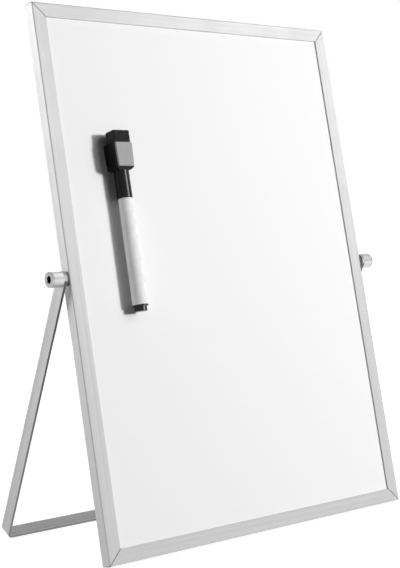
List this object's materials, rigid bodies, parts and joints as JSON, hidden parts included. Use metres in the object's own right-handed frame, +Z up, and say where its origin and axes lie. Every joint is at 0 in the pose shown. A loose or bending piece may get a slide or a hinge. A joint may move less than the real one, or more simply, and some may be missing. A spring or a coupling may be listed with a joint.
{
  "type": "magnetic desk whiteboard easel",
  "caption": "Double-sided magnetic whiteboard that turns in a U-shaped desk stand, with a magnetic dry-erase marker on its front.",
  "frame": {"origin": "on the table, at the middle of the footprint between the board's front edge and the stand's foot", "axes": "+X along the board's width to the viewer's right, +Y from the board's front to the stand's foot, +Z up"},
  "size_m": [0.279, 0.1268, 0.3514],
  "materials": {
    "frame_aluminium": "satin anodised",
    "key_metal": "as cast",
    "sheet_white": "gloss white coating on steel",
    "core_board": "matt fibreboard",
    "nut_steel": "zinc plated",
    "spacer_plastic": "black nylon",
    "screw_steel": "polished steel",
    "stand_steel": "satin steel strip",
    "cap_black": "gloss black moulding",
    "plate_grey": "satin grey",
    "magnet_plated": "nickel plated",
    "eraser_felt": "pressed black felt",
    "barrel_white": "gloss white moulding",
    "plug_black": "black moulding",
    "ink_fibre": "bonded fibre rod",
    "nib_fibre": "bonded fibre"
  },
  "bodies": {
    "board": {"frame_bottom": "frame_aluminium", "frame_top": "frame_aluminium", "frame_left": "frame_aluminium", "frame_right": "frame_aluminium", "corner_key_bottom_left": "key_metal", "corner_key_bottom_right": "key_metal", "corner_key_top_left": "key_metal", "corner_key_top_right": "key_metal", "writing_sheet_front": "sheet_white", "writing_sheet_rear": "sheet_white", "panel_core": "core_board", "nut_plate_left": "nut_steel", "nut_plate_right": "nut_steel", "pivot_spacer_left": "spacer_plastic", "pivot_spacer_right": "spacer_plastic"},
    "stand": {"stand_bail": "stand_steel"},
    "screw_left": {"pivot_screw_left": "screw_steel"},
    "screw_right": {"pivot_screw_right": "screw_steel"},
    "cap": {"marker_cap": "cap_black", "marker_cap_plate": "plate_grey", "marker_cap_magnet": "magnet_plated", "marker_eraser": "eraser_felt"},
    "barrel": {"marker_barrel": "barrel_white", "marker_end_plug": "plug_black", "marker_reservoir": "ink_fibre", "marker_nib_holder": "plug_black", "marker_nib": "nib_fibre"}
  },
  "joints": [
    {"name": "stand_turn", "type": "hinge", "parent": "board", "child": "stand", "pos_m": [0, -0.02844, 0.17572], "axis": [1, 0, 0], "continuous": true},
    {"name": "screw_left_turn", "type": "hinge", "parent": "board", "child": "screw_left", "pos_m": [-0.135, -0.02844, 0.17572], "axis": [1, 0, 0], "continuous": true},
    {"name": "screw_right_turn", "type": "hinge", "parent": "board", "child": "screw_right", "pos_m": [0.135, -0.02844, 0.17572], "axis": [1, 0, 0], "continuous": true},
    {"name": "marker_pull", "type": "slide", "parent": "board", "child": "cap", "axis": [0, -0.9848, 0.1736], "range_m": [0, 0.06]},
    {"name": "barrel_pull", "type": "slide", "parent": "cap", "child": "barrel", "axis": [0, -0.1736, -0.9848], "range_m": [0, 0.04]}
  ]
}
